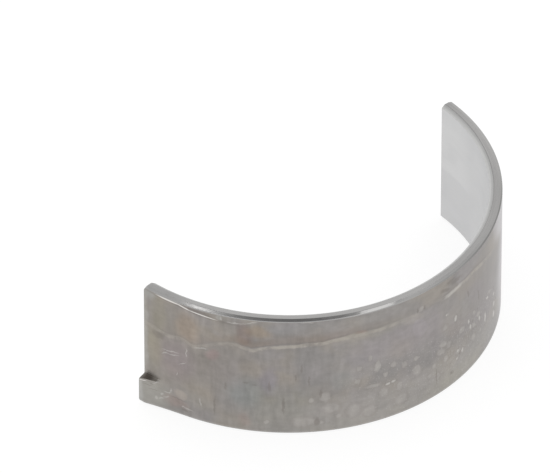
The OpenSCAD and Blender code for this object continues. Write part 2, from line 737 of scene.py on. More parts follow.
DRIED_DROPS: tuple[Mark, ...] = (
    Mark(26.6, 6.2, 0.7, 0.8),
    Mark(33.0, 11.6, 0.25, 0.5),
    Mark(34.0, 9.9, 0.3, 0.9, -12),
    Mark(34.05, 9.6, 0.2, 0.4, -12),
    Mark(31.2, 8.0, 0.4, 0.4),
    Mark(35.0, 4.9, 0.7, 0.8),
    Mark(33.4, 6.6, 1.1, 0.3),
    Mark(40.3, 6.5, 0.7, 1.0, 25),
    Mark(38.3, 8.5, 0.4, 0.5),
    Mark(40.2, 8.7, 0.4, 0.35),
    Mark(30.6, 3.0, 0.9, 1.1),
    Mark(32.9, 2.4, 0.9, 0.8),
    Mark(37.5, 5.0, 0.4, 0.7),
    Mark(37.8, 2.7, 0.9, 0.8),
    Mark(23.6, 2.1, 1.5, 0.8),
    Mark(27.5, 4.2, 1.1, 0.8),
    Mark(28.5, 2.6, 0.4, 0.3),
    Mark(26.2, 1.8, 0.3, 0.3),
    Mark(18.6, 2.0, 0.35, 0.3),
    Mark(24.7, 5.8, 0.35, 0.4),
    Mark(43.4, 5.6, 0.35, 0.4),
    Mark(45.5, 11.2, 0.5, 0.45),
    Mark(45.2, 8.5, 0.7, 0.45, -20),
    Mark(44.7, 7.4, 0.8, 0.45, -20),
    Mark(46.3, 7.8, 0.4, 0.55),
    Mark(49.1, 8.5, 0.6, 0.5),
    Mark(51.3, 7.5, 0.3, 0.5, 20),
    Mark(52.2, 7.3, 0.6, 0.3, -35),
    Mark(53.5, 8.3, 0.6, 0.45, -30),
    Mark(53.9, 7.2, 0.3, 0.4),
    Mark(52.2, 9.5, 0.45, 0.25, -30),
    Mark(48.4, 5.3, 0.5, 0.4),
    Mark(48.2, 4.2, 0.4, 0.35),
    Mark(49.4, 4.6, 0.35, 0.55),
    Mark(52.2, 5.2, 0.45, 0.6, 20),
    Mark(54.2, 5.0, 0.3, 0.3),
    Mark(57.3, 9.5, 0.6, 0.3, -35),
    Mark(45.7, 5.6, 0.4, 0.55),
    Mark(46.0, 13.3, 0.35, 0.25),
    Mark(42.6, 4.3, 0.35, 0.35),
    Mark(44.2, 3.4, 0.4, 0.6),
    Mark(36.5, 9.3, 0.4, 0.45),
    Mark(35.3, 8.0, 0.35, 0.4),
    Mark(31.4, 10.2, 0.35, 0.4),
    Mark(59.2, 5.8, 0.4, 0.5),
    Mark(59.4, 4.0, 0.5, 0.4),
    Mark(59.3, 7.6, 0.35, 0.4),
    Mark(41.0, 17.0, 0.4, 0.4),
)
BRIGHT_SPOTS: tuple[Mark, ...] = (
    Mark(35.7, 6.2, 0.3, 0.2),
    Mark(36.5, 6.3, 0.4, 0.16),
    Mark(47.7, 11.5, 0.26, 0.5),
    Mark(50.8, 8.8, 0.2, 0.4),
    Mark(51.3, 7.7, 0.2, 0.3),
    Mark(53.8, 7.5, 0.2, 0.4),
    Mark(55.75, 6.1, 0.28, 0.9),
    Mark(56.4, 9.0, 0.4, 0.2, -32),
    Mark(59.2, 7.6, 0.35, 0.2),
    Mark(59.4, 5.7, 0.3, 0.45),
    Mark(59.3, 4.0, 0.35, 0.5),
    Mark(49.3, 4.9, 0.2, 0.4),
    Mark(48.1, 4.2, 0.18, 0.2),
    Mark(48.3, 5.5, 0.2, 0.25),
    Mark(45.85, 13.3, 0.14, 0.14),
)
DARK_FLECKS_AND_SHADE: tuple[Mark, ...] = (
    Mark(26.0, 6.9, 0.22, 0.6),
    Mark(23.4, 11.4, 0.14, 0.7),
    Mark(24.4, 9.3, 0.12, 0.9),
    Mark(22.6, 9.9, 0.14, 0.6),
    Mark(19.0, 8.3, 0.2, 0.8),
    Mark(15.8, 8.6, 0.5, 0.12),
    Mark(16.9, 8.4, 0.3, 0.12),
    Mark(20.9, 5.0, 0.18, 1.4),
    Mark(12.9, 7.4, 0.2, 0.6),
    Mark(11.3, 3.4, 0.16, 1.3),
    Mark(25.5, 2.0, 0.4, 0.7),
    Mark(53.5, 11.7, 0.16, 1.1, 12),
    Mark(59.1, 8.7, 0.2, 0.4),
    Mark(60.3, 6.0, 0.2, 0.4),
    Mark(60.1, 4.2, 0.2, 0.3),
    Mark(51.9, 8.3, 0.2, 0.2),
    Mark(53.2, 9.4, 0.2, 0.2),
    Mark(45.5, 17.8, 0.9, 0.3, -20),
    Mark(46.6, 18.8, 0.8, 0.3, 10),
    Mark(43.9, 3.6, 0.12, 1.3),
    Mark(48.8, 4.8, 0.35, 0.3),
    Mark(47.0, 2.4, 0.4, 0.25),
    Mark(41.6, 17.0, 0.12, 0.45),
    Mark(40.4, 17.0, 0.12, 0.4),
    Mark(47.6, 18.3, 1.3, 0.35),
    Mark(8.6, 19.0, 0.5, 0.25),
    Mark(50.6, 14.0, 0.2, 0.7, 15),
    Mark(2.6, 12.6, 1.0, 0.6),
    Mark(1.3, 3.6, 0.8, 0.06),
    Mark(2.1, 3.0, 0.7, 0.06),
    # Painted shade under the rim's bevel, above the scratches near the tang end
    Mark(9.3, 19.25, 1.7, 0.17, -5),
    Mark(7.4, 19.45, 0.9, 0.1, -9),
    Mark(1.9, 3.95, 0.25, 0.12),
    Mark(5.8, 2.75, 1.1, 0.09, -8),
    Mark(6.95, 1.1, 0.5, 0.15, -10),
)
SCRATCHES: tuple[Mark, ...] = (
    Mark(4.4, 19.46, 2.0, 0.13, -1),
    Mark(6.7, 19.26, 1.1, 0.1, -12),
    Mark(9.4, 18.9, 2.1, 0.09, -5.5),
    Mark(0.55, 4.12, 0.6, 0.06, 4),
)
RUBS: tuple[Mark, ...] = (
    Mark(4.6, 10.6, 1.3, 0.09, 8),
    Mark(4.9, 10.15, 1.0, 0.07, 15),
    Mark(3.6, 9.9, 0.5, 0.09, 30),
    Mark(6.5, 9.3, 0.6, 0.07, 35),
    Mark(3.3, 2.7, 0.2, 0.17),
    Mark(4.2, 3.35, 0.45, 0.1, 15),
    Mark(4.75, 3.8, 0.1, 0.4),
    Mark(2.5, 1.7, 0.15, 0.3),
    Mark(3.2, 1.9, 0.45, 0.1, 20),
    Mark(4.0, 2.5, 0.4, 0.1, 22),
    Mark(2.4, 4.3, 0.5, 0.07, 22),
    Mark(7.3, 1.55, 0.8, 0.08, -8),
    Mark(6.55, 1.7, 0.2, 0.15),
    Mark(9.2, 3.4, 0.1, 0.65, 12),
    Mark(5.67, 7.1, 0.09, 0.3),
    Mark(12.25, 19.15, 0.12, 0.25),
    Mark(24.2, 19.55, 0.9, 0.07, 2),
    Mark(9.3, 13.0, 0.9, 0.1, 15),
    Mark(7.1, 11.5, 0.08, 0.7),
    Mark(14.2, 18.78, 1.1, 0.09, 4),
    Mark(16.3, 19.15, 1.2, 0.08, 18),
    Mark(47.3, 16.7, 1.9, 0.35, 8),
)
# Where the stretches of the back begin and end, each with its own material
STRETCHES = (0.0, 19.8, 36.0, 47.0, 90.0)
# The dark and the pale colour that marks and specks share; the dark one also paints shadow
FLECK_AND_SHADE = srgb(116, 109, 104)
SPOT = srgb(192, 189, 185)
# The darker, wider coat round each drop, spot and scratch is painted shadow at its edge
MARK_GROUPS: tuple[MarkGroup, ...] = (
    MarkGroup(DRIED_DROPS, (Coat(srgb(138, 132, 128), 0.3, 1.3), Coat(srgb(171, 167, 163), 0.6))),
    MarkGroup(DARK_FLECKS_AND_SHADE, (Coat(FLECK_AND_SHADE, 0.38),)),
    MarkGroup(BRIGHT_SPOTS, (Coat(FLECK_AND_SHADE, 0.2, 1.6), Coat(SPOT, 0.8))),
    MarkGroup(RUBS, (Coat(SPOT, 0.5),)),
    MarkGroup(SCRATCHES, (Coat(FLECK_AND_SHADE, 0.3, 2.4), Coat(srgb(226, 223, 219), 0.9)), frayed=False),
)
# Curves along the strip: the painted reflected line's height in mm, and strengths from 0 up
REFLECTED_LINE_HEIGHT: Curve = (
    (0, 13.5), (1.5, 13.45), (4.1, 13.05), (5.9, 13.35), (7.3, 13.15), (8.2, 12.8),
    (9.2, 13.2), (11.6, 14.25), (13.8, 14.8), (15.2, 14.6), (16.5, 14.25), (17.8, 14.6),
    (19.4, 15.0), (23.2, 15.35), (26.3, 15.5), (28, 15.85), (31, 15.95), (37, 16.15),
    (41, 16.4), (43, 16.85), (45, 16.4), (50, 16.65), (53, 16.65), (58, 15.8),
)
REFLECTED_LINE_PALENESS: Curve = (
    (0, 0.3), (3, 0.45), (8, 0.45), (12, 0.35), (15, 0.6), (18, 0.95), (33, 0.9),
    (37, 0.45), (39, 0.2), (44, 0.15), (46, 0.7), (55, 0.8), (60, 0.0),
)
REFLECTED_LINE_BROWN: Curve = (
    (0, 0.0), (8, 0.2), (13, 0.45), (16, 0.9), (18.5, 0.9), (21, 0.5), (33, 0.4),
    (37, 0.2), (43, 0.05), (60, 0.0),
)
RIM_DULLNESS: Curve = (
    (42, 0.0), (47, 0.8), (60, 0.8), (66, 1.0), (71, 0.7), (76, 0.3), (84, 0.3), (89, 1.2),
)
LIP_DARKNESS: Curve = ((38, 0.0), (44, 0.4), (50, 0.5), (56, 1.0), (63, 1.0), (70, 0.0))


@dataclass(frozen=True)
class SteelBack(Finish):
    """One stretch of the bare steel back.

    It has fine streaks along the axis, heat tints, a painted reflection of an edge on the table,
    dried drops and specks, and painted light: a sheen towards the plain end and a highlight at
    the upper corner of the tang end. Places are in mm on the strip. A span or an ease of shares
    goes by the level of a random field.
    """

    relief_rise: float = 8e-7
    start: float = 0.0
    end: float = 0.0
    # The steel's own tone, and a painted grazing reflection that pales it towards the plain end
    warm: Colour = srgb(152, 146, 139)
    warmth: Grain = Grain((9.0, 7.0, 1.0))
    warm_shares: Span = (0.42, 0.66)
    cool: Colour = srgb(150, 146, 145)
    chill: Grain = Grain((6.0, 6.0, 1.0), shake=(9.0, 6.0))
    cool_shares: Span = (0.45, 0.68)
    # Painted grazing reflection: the back paler towards the plain end, where it turns away
    plain_end_sheen: Colour = srgb(190, 188, 190)
    sheen_along: Ease = (60.0, 65.5, 0.0, 0.85)
    sheen_lead: Ease = (14.5, 17.0, 0.0, 2.8)
    sheen_fray: float = 3.0
    # A painted reflection of an edge on the table: a pale line, a dark line and a brown band above
    reflected_line_fray: float = 0.6
    brown: Colour = srgb(133, 117, 103)
    brown_above: Stretch = (0.45, 0.9, 1.2, 2.3)
    brown_cover: float = 0.42
    shadow_above: Stretch = (0.42, 0.55, 0.7, 0.95)
    shadow_cover: float = 0.35
    cream: Colour = srgb(168, 162, 154)
    cream_above: Stretch = (-0.25, 0.05, 0.35, 0.55)
    cream_shares: Ease = (0.36, 0.56, 0.35, 0.85)
    # Marks and specks
    tint_shake: Span = (3.5, 1.8)
    mark_shake: Span = (0.5, 0.5)
    specks: Grain = Grain((0.3, 0.45, 1.0))
    speck_along: Stretch = (32.0, 54.0, 59.0, 66.0)
    speck_height: Span = (12.0, 8.0)
    pale_shares: Ease = (0.6, 0.7, 0.0, 0.4)
    dark_shares: Ease = (0.38, 0.29, 0.0, 0.35)
    dust: Grain = Grain((0.2, 0.26, 1.0), 1.0)
    dust_along: Stretch = (24.0, 36.0, 59.0, 66.0)
    dust_height: Span = (12.5, 9.0)
    dust_shares: Ease = (0.63, 0.72, 0.0, 0.45)
    worn_height: Ease = (0.6, 0.2, 0.0, 0.45)
    # Streaks and mottle
    streaks: Grain = Grain((0.6, 3.0, 1.0), 5.0, (1.5, 0.3))
    patches: Grain = Grain((5.0, 6.0, 1.0), 1.0)
    patch_shares: Span = (0.4, 0.65)
    brushing: Grain = Grain((1.0, 4.5, 1.0), 2.0, (2.0, 0.5))
    mottle: Grain = Grain((1.3, 1.0, 1.0), 3.0)
    drawn_along: Stretch = (3.0, 9.0, 22.0, 34.0)
    drawn_least: float = 0.4
    streak_shade: float = 0.3
    brush_shade: float = 0.32
    mottle_shade: float = 0.3
    shade_strength: float = 0.6
    mottle_rough: float = 0.14
    streak_rough: float = 0.08

    def paint(self, skin: Skin) -> Painted:
        """Lays on clouds, tints, the painted reflected line, marks and specks, and shades them by
        streaks.

        Args:
            skin: the skin, in the base colour.

        Returns:
            The roughness and the relief.
        """
        mottle = skin.field(self.mottle)
        self.clouds(skin)
        loose = skin.shaken(self.tint_shake)
        for tint in HEAT_TINTS_AND_SHEEN:
            if tint.mark.touches(self.start, self.end, 1 + tint.soft):
                tint.lay_on(skin, loose)
        # Painted reflection of an edge on the table, as a line along the back
        self.reflected_line(skin, mottle)
        frayed = skin.shaken(self.mark_shake)
        for group in MARK_GROUPS:
            group.lay_on(skin, frayed, self.start, self.end)
        self.speckle(skin)
        uneven = mottle - MEAN
        patches = skin.field(self.patches).eased(*self.patch_shares)
        streaks = (skin.field(self.streaks) - MEAN) * patches
        brushing = skin.field(self.brushing) - MEAN
        drawn = skin.along.within(*self.drawn_along) * (1 - self.drawn_least) + self.drawn_least
        lines = (streaks * self.streak_shade + brushing * self.brush_shade) * drawn
        skin.shade(self.shade_strength, lines + uneven * self.mottle_shade)
        rough = self.roughness + self.mottle_rough * uneven + self.streak_rough * streaks
        return rough, streaks * drawn

    def clouds(self, skin: Skin) -> None:
        """Lays on the steel's own tone, drifting from neutral to warm and cool, and a painted sheen
        at the end.

        Args:
            skin: the skin.
        """
        chill = skin.field(self.chill)
        skin.lay(skin.field(self.warmth).eased(*self.warm_shares), self.warm)
        skin.lay(chill.eased(*self.cool_shares), self.cool)
        # Painted grazing reflection, paler towards the plain end
        lead = skin.height.eased(*self.sheen_lead) + (chill - MEAN) * self.sheen_fray
        skin.lay((skin.along + lead).eased(*self.sheen_along), self.plain_end_sheen)

    def reflected_line(self, skin: Skin, mottle: Value) -> None:
        """Lays on a painted reflection of a table edge: a pale cream line with a brown band above
        it.

        Args:
            skin: the skin.
            mottle: random field that frays the line.
        """
        above = skin.height - skin.profile(REFLECTED_LINE_HEIGHT) + (mottle - MEAN) * self.reflected_line_fray
        brown = above.within(*self.brown_above) * skin.profile(REFLECTED_LINE_BROWN)
        skin.lay(brown * self.brown_cover, self.brown)
        share = skin.profile(REFLECTED_LINE_PALENESS) * mottle.eased(*self.cream_shares)
        skin.lay(above.within(*self.shadow_above) * share * self.shadow_cover, FLECK_AND_SHADE)
        skin.lay(above.within(*self.cream_above) * share, self.cream)

    def speckle(self, skin: Skin) -> None:
        """Lays on fine specks where the drops dried, and a line of wear along the standing edge.

        Args:
            skin: the skin.
        """
        specks = skin.field(self.specks)
        spread = skin.along.within(*self.speck_along) * skin.height.eased(*self.speck_height)
        skin.lay(specks.eased(*self.pale_shares) * spread, SPOT)
        skin.lay(specks.eased(*self.dark_shares) * spread, FLECK_AND_SHADE)
        spread = skin.along.within(*self.dust_along) * skin.height.eased(*self.dust_height)
        skin.lay(skin.field(self.dust).eased(*self.dust_shares) * spread, SPOT)
        skin.lay(skin.height.eased(*self.worn_height), SPOT)


@dataclass(frozen=True)
class Lining(Finish):
    """The smooth pale lining of the bore: faint smudges, painted shade and fine polish lines round
    it.
    """

    relief_rise: float = 1e-7
    # Darker tone of the smudges, the darker lower part and the painted shade
    worn_and_shade: Colour = srgb(195, 195, 196)
    smudges: Grain = Grain((7.0, 4.0, 4.0), shake=(5.0, 3.0))
    smudge_shares: Ease = (0.42, 0.66, 0.0, 0.25)
    smudge_rough: float = 0.06
    lower_dark_height: Ease = (9.1, 8.5, 0.0, 0.5)
    lower_dark_along: Span = (78.0, 82.0)
    lower_dark_fray: float = 1.5
    # Painted shade: darker away from the plain end and towards the top rim
    painted_shade_along: Ease = (84.0, 79.0, 0.0, 0.45)
    painted_shade_height: Ease = (16.5, 19.3, 0.0, 0.35)
    polish: Grain = Grain((12.0, 0.25, 1.0))
    polish_shade: float = 0.08
    shade_strength: float = 0.35

    def paint(self, skin: Skin) -> Painted:
        """Lays on the smudges, a darker lower part, painted shade and the polish lines.

        Args:
            skin: the skin, in the base colour.

        Returns:
            The roughness and the relief.
        """
        smudges = skin.field(self.smudges)
        polish = skin.field(self.polish)
        skin.lay(smudges.eased(*self.smudge_shares), self.worn_and_shade)
        edge = skin.height + (smudges - MEAN) * self.lower_dark_fray
        skin.lay(edge.eased(*self.lower_dark_height) * skin.along.eased(*self.lower_dark_along), self.worn_and_shade)
        # Painted shade, darker away from the plain end and towards the top rim
        painted_shade = skin.along.eased(*self.painted_shade_along) + skin.height.eased(*self.painted_shade_height)
        skin.lay(painted_shade, self.worn_and_shade)
        skin.shade(self.shade_strength, (polish - MEAN) * self.polish_shade)
        return self.roughness + self.smudge_rough * (smudges - MEAN), polish


@dataclass(frozen=True)
class CutEdge(Finish):
    """Turned and deburred metal: fine lines along the cut and small dull spots."""

    relief_rise: float = 5e-7
    lines: Grain = Grain((6.0, 0.5, 0.09))
    line_shares: Span = (0.3, 0.7)
    line_dims: Span = (0.95, 1.05)
    spots: Grain = Grain((0.7, 0.7, 0.4), 3.0)
    spot_shares: Ease = (0.58, 0.75, 0.0, 0.5)
    spot_dim: float = 0.86
    spot_rough: float = 0.16
    spot_level: float = 0.4

    def paint(self, skin: Skin) -> Painted:
        """Lays on the lines and the spots.

        Args:
            skin: the skin, in the base colour.

        Returns:
            The roughness and the relief.
        """
        lines = skin.field(self.lines)
        spots = skin.field(self.spots)
        skin.tone, bright = (dimmed(self.base, dim) for dim in self.line_dims)
        skin.lay(lines.eased(*self.line_shares), bright)
        skin.lay(spots.eased(*self.spot_shares), dimmed(self.base, self.spot_dim))
        return self.roughness + self.spot_rough * (spots - self.spot_level), lines


@dataclass(frozen=True)
class RimEdge(CutEdge):
    """The rims, the back's bevels and the parting faces.

    They are rough by the tang, polished towards the crown and darker far round. A line on the rim
    beside the bore's chamfer and the lip of the back's bevel are darker still.
    """

    rim_cover: float = 0.3
    rim_dim: float = 0.6
    dark_line_depth: Span = (1.08, 1.2)
    dark_line_height: Span = (19.7, 19.85)
    dark_line_along: Ease = (56.0, 76.0, 0.0, 0.6)
    dark_line_dim: float = 0.45
    lip_depth: Span = (0.25, 0.1)
    lip_height: Ease = (19.5, 19.6, 0.0, 0.6)
    lip_dim: float = 0.35
    rough_along: Ease = (8.5, 4.5, 0.0, 0.3)
    polished_along: Stretch = (27.0, 32.0, 39.5, 43.0)
    polish_rough: float = 0.09

    def paint(self, skin: Skin) -> Painted:
        """Lays the rim's dullness, the dark line and the lip on the cut metal.

        Args:
            skin: the skin, in the base colour.

        Returns:
            The roughness and the relief.
        """
        rough, lines = super().paint(skin)
        skin.lay(skin.profile(RIM_DULLNESS) * self.rim_cover, dimmed(self.base, self.rim_dim))
        dark_line = skin.depth.eased(*self.dark_line_depth) * skin.height.eased(*self.dark_line_height)
        dark_line = dark_line * skin.along.eased(*self.dark_line_along)
        skin.lay(dark_line, dimmed(self.base, self.dark_line_dim))
        lip = skin.depth.eased(*self.lip_depth) * skin.height.eased(*self.lip_height)
        skin.lay(lip * skin.profile(LIP_DARKNESS), dimmed(self.base, self.lip_dim))
        polished = skin.along.within(*self.polished_along) * self.polish_rough
        return rough + skin.along.eased(*self.rough_along) - polished, lines


@dataclass(frozen=True)
class LiningChamfer(CutEdge):
    """The bore's chamfer, which darkens towards the rim."""

    fade_depth: Ease = (1.75, 1.25, 0.0, 0.7)
    fade_dim: float = 0.6

    def paint(self, skin: Skin) -> Painted:
        """Lays the fade on the cut metal.

        Args:
            skin: the skin, in the base colour.

        Returns:
            The roughness and the relief.
        """
        painted = super().paint(skin)
        skin.lay(skin.depth.eased(*self.fade_depth), dimmed(self.base, self.fade_dim))
        return painted


@dataclass(frozen=True)
class ShearedFlank(Finish):
    """The tang's torn flank, darkened, darkest close to the parting face."""

    relief_rise: float = 1.2e-5
    torn: Grain = Grain((0.35, 0.2, 0.2), 3.0)
    darkening: Colour = srgb(96, 90, 84)
    darkening_along: Span = (2.4, 1.2)
    darkening_fray: float = 0.6
    corner_along: Ease = (0.05, 0.7, 0.3, 1.0)
    torn_shares: Ease = (0.3, 0.7, 0.0, 0.4)
    torn_dim: float = 0.7

    def paint(self, skin: Skin) -> Painted:
        """Lays on the darkening and the torn, darker streaks.

        Args:
            skin: the skin, in the base colour.

        Returns:
            The roughness and the relief.
        """
        torn = skin.field(self.torn)
        darkening = (skin.along + (torn - MEAN) * self.darkening_fray).eased(*self.darkening_along)
        skin.lay(darkening * skin.along.eased(*self.corner_along), self.darkening)
        skin.lay(torn.eased(*self.torn_shares), dimmed(self.darkening, self.torn_dim))
        return self.roughness, torn


FINISHES: dict[Zone, Finish] = {
    **{
        Zone(place): SteelBack(
            f"steel_back_{place + 1}", srgb(142, 139, 137), 0.36, start=start, end=end
        )
        for place, (start, end) in enumerate(zip(STRETCHES, STRETCHES[1:]))
    },
    Zone.EDGE: RimEdge("cut_edge", srgb(164, 163, 162), 0.14),
    Zone.LINING: Lining("pale_lining", srgb(207, 207, 207), 0.4),
    Zone.SHEAR: ShearedFlank("sheared_flank", srgb(150, 145, 139), 0.6),
    Zone.CHAMFER: LiningChamfer("lining_chamfer", srgb(193, 193, 192), 0.4),
}


@dataclass(frozen=True)
class GridMesh:
    """A surface of four-sided faces, as whole arrays."""

    points: np.ndarray
    strip: np.ndarray
    faces: np.ndarray
    zones: np.ndarray

    def capped(self, border: Border, flipped: bool) -> "GridMesh":
        """Closes an end with a patch between runs of the mesh's own points, as a cut edge.

        Args:
            border: indices up the back, up the bore, across the low rim and across the high one.
            flipped: turns the patch's faces round.

        Returns:
            The mesh with the patch.
        """
        rows, columns = len(border[0]), len(border[2])
        inner = (rows - 2, columns - 2)
        grid = np.zeros((rows, columns), int)
        grid[1:-1, 1:-1] = len(self.points) + np.arange(math.prod(inner)).reshape(inner)
        grid[:, 0], grid[:, -1], grid[0], grid[-1] = border
        quads = np.stack([grid[:-1, :-1], grid[1:, :-1], grid[1:, 1:], grid[:-1, 1:]], axis=-1)
        quads = quads.reshape(-1, 4)
        patches = [coons(*(own[run] for run in border)) for own in (self.points, self.strip)]
        points, strip = (patch[1:-1, 1:-1].reshape(-1, 3) for patch in patches)
        return GridMesh(
            np.concatenate([self.points, points]),
            np.concatenate([self.strip, strip]),
            np.concatenate([self.faces, quads[:, ::-1] if flipped else quads]),
            np.concatenate([self.zones, np.full(len(quads), Zone.EDGE.value)]),
        )

    def to_object(self, name: str, sharp_deg: float = 180.0) -> bpy.types.Object:
        """Puts the arrays into a Blender mesh.

        Args:
            name: name of the object.
            sharp_deg: faces that meet at a larger angle keep a crisp edge.

        Returns:
            The new object, at the origin.
        """
        mesh = bpy.data.meshes.new(name)
        mesh.vertices.add(len(self.points))
        mesh.vertices.foreach_set("co", self.points.astype(np.float32).ravel())
        mesh.loops.add(self.faces.size)
        mesh.loops.foreach_set("vertex_index", self.faces.astype(np.int32).ravel())
        mesh.polygons.add(len(self.faces))
        mesh.polygons.foreach_set("loop_start", np.arange(0, self.faces.size, 4, dtype=np.int32))
        mesh.polygons.foreach_set("material_index", self.zones.astype(np.int32))
        mesh.update(calc_edges=True)
        mesh.shade_smooth()
        mesh.set_sharp_from_angle(angle=math.radians(sharp_deg))
        strip = mesh.attributes.new(STRIP, "FLOAT_VECTOR", "POINT")
        strip.data.foreach_set("vector", (self.strip / MM).astype(np.float32).ravel())
        made = bpy.data.objects.new(name, mesh)
        bpy.context.scene.collection.objects.link(made)
        return made

    def volume(self) -> float:
        """Enclosed volume in cubic metres, positive when the faces point outwards.

        Every face is split in two triangles, and each makes a sixth of a triple product.

        Returns:
            The volume.
        """
        corner = self.points[self.faces]
        halves = ((0, 1, 2), (0, 2, 3))
        crossed = [np.cross(corner[:, b], corner[:, c]) * corner[:, a] for a, b, c in halves]
        return float(np.sum(crossed) / 6)


@dataclass
class BearingShell:
    """The half shell: a strip of even section rolled to an arc, with a tang bent out at one end.

    Lengths are in metres, angles in radians.
    """

    back_r: float
    bore_r: float
    width: float
    end_angle: float
    tip_r: float
    tang_width: float = 4.6 * MM
    ramp_r: float = 80.0 * MM
    flank_slope: float = math.tan(math.radians(15))
    bore_chamfer_in: float = 0.55 * MM
    bore_chamfer_down: float = 0.4 * MM
    bore_round: float = 0.06 * MM
    back_bevel_in: float = 0.5 * MM
    back_bevel_down: float = 0.2 * MM
    back_side_round: float = 0.12 * MM
    back_rim_round: float = 0.2 * MM
    parting_chamfer: float = 0.05 * MM
    parting_round: float = 0.07 * MM
    flank_round: float = 0.16 * MM
    flank_draw: float = 1.2 * MM
    shear_end: float = 2.4 * MM
    draw_end: float = 3.8 * MM
    tip_round: float = 0.75 * MM
    tip_end: float = 0.9 * MM
    end_round: float = 0.7 * MM
    sharp_deg: float = 38.0

    @classmethod
    def from_frame(cls, record: dict) -> "BearingShell":
        """Reads the shell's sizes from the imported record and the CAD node's box.

        Args:
            record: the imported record.

        Returns:
            The shell, ready to build.
        """
        mounts = {mount["name"]: mount for mount in record["mounts"]}
        low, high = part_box(NODE)
        end_x, end_y, _ = mounts["plain_parting_face"]["pos_m"]
        end_angle = math.atan2(-end_y, end_x)
        return cls(
            back_r=mounts["housing_seat"]["dims"]["r_mm"] * MM,
            bore_r=mounts["journal"]["dims"]["r_mm"] * MM,
            width=high.z - low.z,
            end_angle=end_angle,
            tip_r=-low.x / math.cos(end_angle),
        )

    @property
    def wall(self) -> float:
        """Thickness of the strip."""
        return self.back_r - self.bore_r

    @property
    def length(self) -> float:
        """Length of the strip, measured round the back."""
        return (math.pi - 2 * self.end_angle) * self.back_r

    @property
    def ramp_distance(self) -> float:
        """Distance of the ramp circle's centre from the bearing axis."""
        return self.back_r + self.ramp_r

    @property
    def tang_arc(self) -> float:
        """Angle from the parting face to the foot of the ramp."""
        far, tip = self.ramp_distance, self.tip_r
        return math.acos((far**2 + tip**2 - self.ramp_r**2) / (2 * far * tip))

    def lift(self, along: np.ndarray, depth: np.ndarray) -> np.ndarray:
        """How far the tang's bend moves the strip outwards.

        The bent strip lies between two circles about the ramp's centre, so at an angle from
        the foot of the ramp the new radius is the near crossing of a ray with the circle of
        radius ramp_r plus depth. Past the foot the move is zero.

        Args:
            along: place along the strip.
            depth: depth below the back.

        Returns:
            The outward move, in metres.
        """
        angle = np.maximum(self.tang_arc - along / self.back_r, 0.0)
        far = self.ramp_distance
        bent = far * np.cos(angle) - np.sqrt((self.ramp_r + depth) ** 2 - (far * np.sin(angle)) ** 2)
        return bent - (self.back_r - depth)

    def stations(self) -> np.ndarray:
        """Places along the strip: close at the parting edges, finer over the tang.

        Returns:
            Rising distances from the tang's parting face.
        """
        edge = np.array(PARTING_STEPS) * MM
        foot = self.tang_arc * self.back_r
        tang = np.arange(TANG_START * MM, foot, TANG_STEP * MM)
        plain = np.linspace(foot, self.length - PLAIN_INSET * MM, PLAIN_STATIONS)
        return np.concatenate([edge, tang, plain, self.length - edge[::-1]])

    def bevel(self, across: float, down: float, side_round: float, rim_round: float) -> Bevel:
        """A straight bevel with a small round at both of its corners, split at its middle.

        Each round is an arc whose normal turns by the corner's angle. The arc's ends lie on the
        two straight lines that meet there, at the radius times the tangent of half that angle.
        A point close to each arc holds the bevel's flat, so that it shades as one plane.

        Args:
            across: size measured across the rim.
            down: size measured down the side.
            side_round: radius where the bevel meets the side.
            rim_round: radius where it meets the rim.

        Returns:
            Points from the middle to the side, and from the middle to the rim, each as
            distance below the side's surface and distance from the rim's plane.
        """
        tilt = math.atan2(down, across)
        by_side = np.linspace(tilt, math.pi / 2, ARC_POINTS)
        by_rim = np.linspace(tilt, 0, ARC_POINTS)
        side_reach = side_round * math.tan((math.pi / 2 - tilt) / 2)
        rim_reach = rim_round * math.tan(tilt / 2)
        to_side = np.column_stack(
            [side_round * (1 - np.sin(by_side)), down + side_reach - side_round * np.cos(by_side)]
        )
        to_rim = np.column_stack(
            [across + rim_reach - rim_round * np.sin(by_rim), rim_round * (1 - np.cos(by_rim))]
        )
        middle = (to_side[:1] + to_rim[:1]) / 2
        held = [arc[:1] + HOLD_SHARE * (middle - arc[:1]) for arc in (to_side, to_rim)]
        return np.concatenate([middle, held[0], to_side]), np.concatenate([middle, held[1], to_rim])

    def edge_of_back(self) -> Bevel:
        """The back's bevel, as depth below the back and distance from the rim's plane."""
        rounds = (self.back_side_round, self.back_rim_round)
        return self.bevel(self.back_bevel_in, self.back_bevel_down, *rounds)

    def edge_of_bore(self) -> Bevel:
        """The bore's chamfer, as depth below the back and distance from the rim's plane."""
        parts = self.bevel(self.bore_chamfer_in, self.bore_chamfer_down, *(self.bore_round,) * 2)
        return tuple(np.column_stack([self.wall - part[:, 0], part[:, 1]]) for part in parts)

    def side(self, edge: np.ndarray) -> np.ndarray:
        """One side of the section from bottom to top, the back or the bore.

        Each row holds band, place within the band, soft place, tang share, depth and edge height.
        The tang share falls from 1 to 0 over the flank's rows, which makes the sheared step. The
        rows bunch at the step's middle by a quarter of a square and three quarters of a seventh
        power.

        Args:
            edge: half of the side's bevel, from its middle to the side.

        Returns:
            An array of six columns.
        """
        depth, down = edge[:-1].T
        flat, inset = edge[-1]
        soft = np.linspace(-1, 1, FLANK_ROWS)
        share = (1 - np.sin(soft * math.pi / 2)) / 2
        sharp = 0.25 * soft * abs(soft) + 0.75 * soft**7
        runs = (
            (Band.BOTTOM, down, down, 1, depth),
            (Band.LOWER, np.linspace(0, 1, LOWER_ROWS + 1)[:-1], 0, 1, flat),
            (Band.FLANK, sharp, soft, share, flat),
            (Band.UPPER, np.linspace(0, 1, UPPER_ROWS + 1)[1:], 0, 0, flat),
            (Band.TOP, down[::-1], down[::-1], 0, depth[::-1]),
        )
        return np.concatenate([self.run(*parts, inset) for parts in runs])

